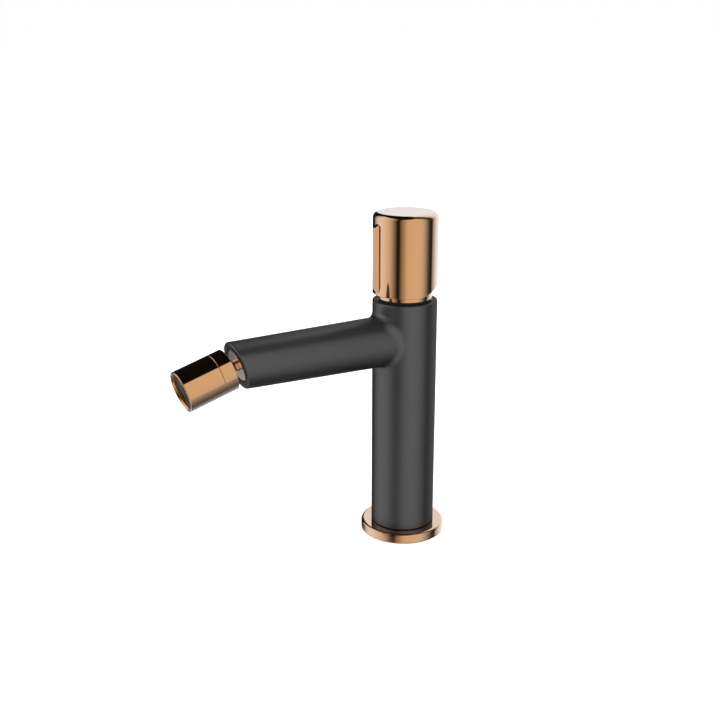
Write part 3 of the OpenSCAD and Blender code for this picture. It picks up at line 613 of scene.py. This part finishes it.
adapter = {"radius": 8.8, "proud": -0.4, "edge": 0.3, "head": 2.0, "depth": 7.0, "threadRadius": 8.95,
           "backEdge": 0.2, "innerEdge": 0.1, "recessRadius": 5.4, "recessAt": 4.0, "hole": 2.75}
spoutAdapter = lathe("spoutAdapter", [
    (adapter["hole"], adapter["proud"], 0), (adapter["radius"], adapter["proud"], adapter["edge"]),
    (adapter["radius"], -adapter["head"], 0), (adapter["threadRadius"], -adapter["head"], adapter["innerEdge"]),
    (adapter["threadRadius"], -adapter["depth"], adapter["backEdge"]),
    (adapter["recessRadius"], -adapter["depth"], adapter["innerEdge"]),
    (adapter["recessRadius"], -adapter["recessAt"], adapter["innerEdge"]),
    (adapter["hole"], -adapter["recessAt"], 0)], "mixer_body", "pale_steel", place=atMouth)
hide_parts("spout_adapter")

stem = {"neck": 3.3, "neckEdge": 0.15, "thread": 2.7, "threadEdge": 0.2, "threadEnd": -4.0, "bore": 1.8,
        "ball": 7.4, "ballSteps": 40, "start": -0.4, "segments": 160,
        "groove": 0.5, "grooves": (1.0, 2.6), "grooveWidth": 0.65, "grooveSlope": 0.05, "grooveEdge": 0.1}


def ballArc(radius, fromRadius, toRadius, steps):
    # Points on the ball from its back, at one distance off the axis, to its front at another.
    a = math.pi - math.asin(fromRadius / radius)
    b = math.asin(toRadius / radius)
    return [(radius * math.sin(a + (b - a) * k / steps), ballAt + radius * math.cos(a + (b - a) * k / steps), 0)
            for k in range(steps + 1)]


def neckGroove(at):
    floorAt = stem["neck"] - stem["groove"]
    return [(stem["neck"], at, stem["grooveEdge"]), (floorAt, at + stem["grooveSlope"], 0),
            (floorAt, at + stem["grooveWidth"], 0),
            (stem["neck"], at + stem["grooveWidth"] + stem["grooveSlope"], stem["grooveEdge"])]


ballStem = lathe("ballStem", [
    (stem["bore"], stem["threadEnd"], 0), (stem["thread"], stem["threadEnd"], stem["threadEdge"]),
    (stem["thread"], stem["start"], 0), (stem["neck"], stem["start"], stem["neckEdge"]),
    *[corner for at in stem["grooves"] for corner in neckGroove(at)]]
    + ballArc(stem["ball"], stem["neck"], stem["bore"], stem["ballSteps"]),
    "mixer_body", "rose_gold", place=atMouth, segments=stem["segments"])
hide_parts("ball_stem")
print("adapter and ball stem built")

# Aerator: rear ring and front shell

aerator = {"radius": 11.1, "back": 4.4, "seam": 11.5, "end": 31.8, "backEdge": 0.25, "seamEdge": 0.28,
           "outletEdge": 0.5, "outletRadius": 9.75, "flare": 0.7, "flareDepth": 1.17, "flareEdge": 0.05,
           "flareRoot": 0.2, "backHole": 6.8, "backHoleEdge": 0.15, "socket": 8.65, "socketSteps": 60,
           "socketEnd": 0.01, "spigot": 9.7, "spigotStart": 10.45, "spigotEdge": 0.1, "spigotPlay": 0.05,
           "spigotGap": 0.1, "step": 16.2, "stepHole": 6.0, "stepEnd": 17.6}
socketArc = [corner for corner in ballArc(aerator["socket"], aerator["backHole"], aerator["socketEnd"],
                                          aerator["socketSteps"]) if corner[1] <= ballAt]
holeForSpigot = aerator["spigot"] + aerator["spigotPlay"]
holeEnd = aerator["spigotStart"] - aerator["spigotGap"]
rearRing = lathe("aeratorRearRing", [
    (aerator["backHole"], aerator["back"], aerator["backHoleEdge"]),
    (aerator["radius"], aerator["back"], aerator["backEdge"]),
    (aerator["radius"], aerator["seam"], aerator["seamEdge"]), (holeForSpigot, aerator["seam"], 0),
    (holeForSpigot, holeEnd, 0), (aerator["socket"], holeEnd, 0)]
    + socketArc[::-1], "aerator", "rose_gold", place=atMouth)
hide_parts("aerator_rear_ring")
frontShell = lathe("aeratorShell", [
    (aerator["socket"], aerator["spigotStart"], 0),
    (aerator["spigot"], aerator["spigotStart"], aerator["spigotEdge"]), (aerator["spigot"], aerator["seam"], 0),
    (aerator["radius"], aerator["seam"], aerator["seamEdge"]),
    (aerator["radius"], aerator["end"], aerator["outletEdge"]),
    (aerator["outletRadius"] + aerator["flare"], aerator["end"], aerator["flareEdge"]),
    (aerator["outletRadius"], aerator["end"] - aerator["flareDepth"], aerator["flareRoot"]),
    (aerator["outletRadius"], aerator["stepEnd"], 0), (aerator["stepHole"], aerator["stepEnd"], 0),
    (aerator["stepHole"], aerator["step"], 0), (aerator["socket"], aerator["step"], 0)],
    "aerator", "rose_gold", place=atMouth)
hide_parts("aerator_shell")
print("aerator built")


# Studio: white surround with a dark ceiling, three dark strips and a bright panel behind on the right

# The floor's and the lamps' lengths are in metres. A name that ends in Sine is a height over the horizon, as
# its sine: from there down the floor, and then the darker ground straight below, fades in until it is full.
studio = {
    "cameraPlace": (474.4, -315.1, 283.2), "cameraTurn": 58.9, "cameraDown": 17.61, "lens": 53.05, "sensor": 36,
    "clipStart": 0.01, "floorSize": 30, "floorColour": "#f7f7f7", "floorLift": 0.12, "farLift": 1.0,
    "liftFrom": 0.35, "liftTo": 0.9, "lampSize": 1.6, "lampHeight": 1.5, "lampPower": 26,
    "lampAim": (0, 0, 0.08), "skyForDiffuse": 0.55, "ceiling": 0.005, "ceilingEdge": 0.025,
    "floorFromSine": -0.43, "floorFullSine": -0.53,
    "belowFromSine": -0.78, "belowFullSine": -0.92, "belowMost": 0.8, "below": 0.05}

# What the metal reflects, by direction, judged from the reflections on the knob, bar and nozzle. Degrees are
# to the right of the camera as seen from the mixer. First the brightness round the horizon, then round the
# floor, then the sine of the height at which the dark ceiling starts.
walls = [(-180, 0.83), (-176, 0.8), (-172, 0.02), (-136, 0.02), (-131, 0.38), (-123, 0.52), (-113, 0.78),
         (-99, 0.9), (-76, 0.82), (-66, 0.74), (-58, 0.66), (-48, 0.42), (-37, 0.15), (-31, 0.02), (-24, 0.02),
         (-16, 0.25), (-6, 0.47), (2, 0.69), (10, 0.76), (40, 0.775), (50, 0.745), (60, 0.65), (70, 0.43),
         (84, 0.1), (93, 0.025), (102, 0.025), (106, 0.32), (117, 0.61), (134, 0.91), (150, 0.93), (176, 0.83)]
floorRing = [(-180, 0.5), (-150, 0.7), (-110, 0.8), (-60, 0.75), (-40, 0.4), (-27, 0.3), (-10, 0.5), (20, 0.7),
             (55, 0.55), (70, 0.27), (84, 0.17), (98, 0.11), (112, 0.15), (125, 0.24), (155, 0.31), (176, 0.45)]
ceilingFrom = [(-180, 0.6), (-174, 0.45), (-165, 0.29), (-150, 0.26), (-140, 0.35), (-128, 0.74), (-105, 0.79),
               (-65, 0.81), (-30, 0.79), (0, 0.75), (16, 0.78), (35, 0.84), (49, 0.875), (64, 0.8), (80, 0.76),
               (103, 0.74), (133, 0.86), (150, 0.9), (166, 0.86), (176, 0.7)]

world = bpy.data.worlds.new("studio")
world.use_nodes = True
bpy.context.scene.world = world
tree = world.node_tree
tree.nodes.clear()


def grey(level):
    return (level, level, level, 1)


def ringOf(tree, stops, angle):
    ramp = addNode(tree, "ShaderNodeValToRGB", {}, {"Fac": (angle, "Fac")})
    elements = ramp.color_ramp.elements
    while len(elements) < len(stops):
        elements.new(0.5)
    for element, (degrees, level) in zip(elements, stops):
        element.position = degrees / 360 + 0.5
        element.color = grey(level)
    return ramp


def smoothStep(tree, source, start, end, low=0.0, high=1.0):
    # Goes softly from low to high while the source goes from start to end.
    return addNode(tree, "ShaderNodeMapRange", {
        "interpolation_type": "SMOOTHSTEP", "From Min": start, "From Max": end, "To Min": low, "To Max": high},
        {"Value": source})


direction = addNode(tree, "ShaderNodeTexCoord")
turned = addNode(tree, "ShaderNodeMapping", {"Rotation": (0, 0, math.radians(90 - studio["cameraTurn"]))},
                 {"Vector": (direction, "Generated")})
angle = addNode(tree, "ShaderNodeTexGradient", {"gradient_type": "RADIAL"}, {"Vector": (turned, "Vector")})
horizon = ringOf(tree, walls, angle)
ground = ringOf(tree, floorRing, angle)
threshold = ringOf(tree, ceilingFrom, angle)
parts = addNode(tree, "ShaderNodeSeparateXYZ", {}, {"Vector": (turned, "Vector")})
over = addNode(tree, "ShaderNodeMath", {"operation": "SUBTRACT"}, {0: (parts, "Z"), 1: (threshold, "Color")})
above = smoothStep(tree, (over, 0), -studio["ceilingEdge"], studio["ceilingEdge"])
below = smoothStep(tree, (parts, "Z"), studio["floorFromSine"], studio["floorFullSine"])
straightDown = smoothStep(tree, (parts, "Z"), studio["belowFromSine"], studio["belowFullSine"],
                          high=studio["belowMost"])
groundBelow = addNode(tree, "ShaderNodeMix", {"data_type": "RGBA", 7: grey(studio["below"])},
                      {"Factor": (straightDown, "Result"), 6: (ground, "Color")})
withFloor = addNode(tree, "ShaderNodeMix", {"data_type": "RGBA"},
                    {"Factor": (below, "Result"), 6: (horizon, "Color"), 7: (groundBelow, 2)})
withCeiling = addNode(tree, "ShaderNodeMix", {"data_type": "RGBA", 7: grey(studio["ceiling"])},
                      {"Factor": (above, "Result"), 6: (withFloor, 2)})
rays = addNode(tree, "ShaderNodeLightPath")
reflected = addNode(tree, "ShaderNodeBackground", {"Strength": 1.0}, {"Color": (withCeiling, 2)})
plain = addNode(tree, "ShaderNodeBackground", {"Color": white, "Strength": studio["skyForDiffuse"]})
seen = addNode(tree, "ShaderNodeBackground", {"Color": white, "Strength": 1.0})
byGloss = addNode(tree, "ShaderNodeMixShader", {},
                  {0: (rays, "Is Glossy Ray"), 1: (plain, 0), 2: (reflected, 0)})
byCamera = addNode(tree, "ShaderNodeMixShader", {},
                   {0: (rays, "Is Camera Ray"), 1: (byGloss, 0), 2: (seen, 0)})
addNode(tree, "ShaderNodeOutputWorld", {}, {"Surface": (byCamera, 0)})

# The floor is lit near the mixer, so that its shadow shows, and fades to plain white farther out
floorMaterial = bpy.data.materials.new("paleFloor")
floorMaterial.use_nodes = True
tree = floorMaterial.node_tree
tree.nodes.clear()
paint = addNode(tree, "ShaderNodeBsdfDiffuse", {"Color": hexToLinear(studio["floorColour"])})
rays = addNode(tree, "ShaderNodeLightPath")
place = addNode(tree, "ShaderNodeTexCoord")
away = addNode(tree, "ShaderNodeVectorMath", {"operation": "LENGTH"}, {0: (place, "Object")})
lift = smoothStep(tree, (away, "Value"), studio["liftFrom"], studio["liftTo"], studio["floorLift"],
                  studio["farLift"])
forCamera = addNode(tree, "ShaderNodeMath", {"operation": "MULTIPLY"},
                    {0: (rays, "Is Camera Ray"), 1: (lift, "Result")})
glow = addNode(tree, "ShaderNodeEmission", {"Color": white}, {"Strength": (forCamera, 0)})
both = addNode(tree, "ShaderNodeAddShader", {}, {0: (paint, 0), 1: (glow, 0)})
addNode(tree, "ShaderNodeOutputMaterial", {}, {"Surface": (both, 0)})
floorMesh = bpy.data.meshes.new("floor")
half = studio["floorSize"] / 2
floorMesh.from_pydata([(-half, -half, 0), (half, -half, 0), (half, half, 0), (-half, half, 0)], [],
                      [(0, 1, 2, 3)])
floorMesh.materials.append(floorMaterial)
floor = newObject("floor", floorMesh)
floor.visible_glossy = False

# Each lamp's name, its place and its share of the power
lamps = [("lampRight", 0.8, -0.5, 1.0), ("lampLeft", -0.9, -0.6, 0.7), ("lampBack", 0.1, 1.0, 0.6)]
for name, x, y, share in lamps:
    lamp = bpy.data.lights.new(name, "AREA")
    lamp.size = studio["lampSize"]
    lamp.energy = studio["lampPower"] * share
    lampObject = newObject(name, lamp)
    lampObject.location = (x, y, studio["lampHeight"])
    toward = Vector(studio["lampAim"]) - lampObject.location
    lampObject.rotation_euler = toward.to_track_quat("-Z", "Y").to_euler()
    lampObject.visible_glossy = False

camera = bpy.data.cameras.new("camera")
camera.lens = studio["lens"]
camera.sensor_width = studio["sensor"]
camera.clip_start = studio["clipStart"]
cameraObject = newObject("camera", camera)
cameraObject.location = Vector(studio["cameraPlace"]) / 1000
cameraObject.rotation_euler = (math.radians(90 - studio["cameraDown"]), 0, math.radians(studio["cameraTurn"]))
bpy.context.scene.camera = cameraObject
bpy.context.scene.view_settings.view_transform = "Standard"
print("studio set")
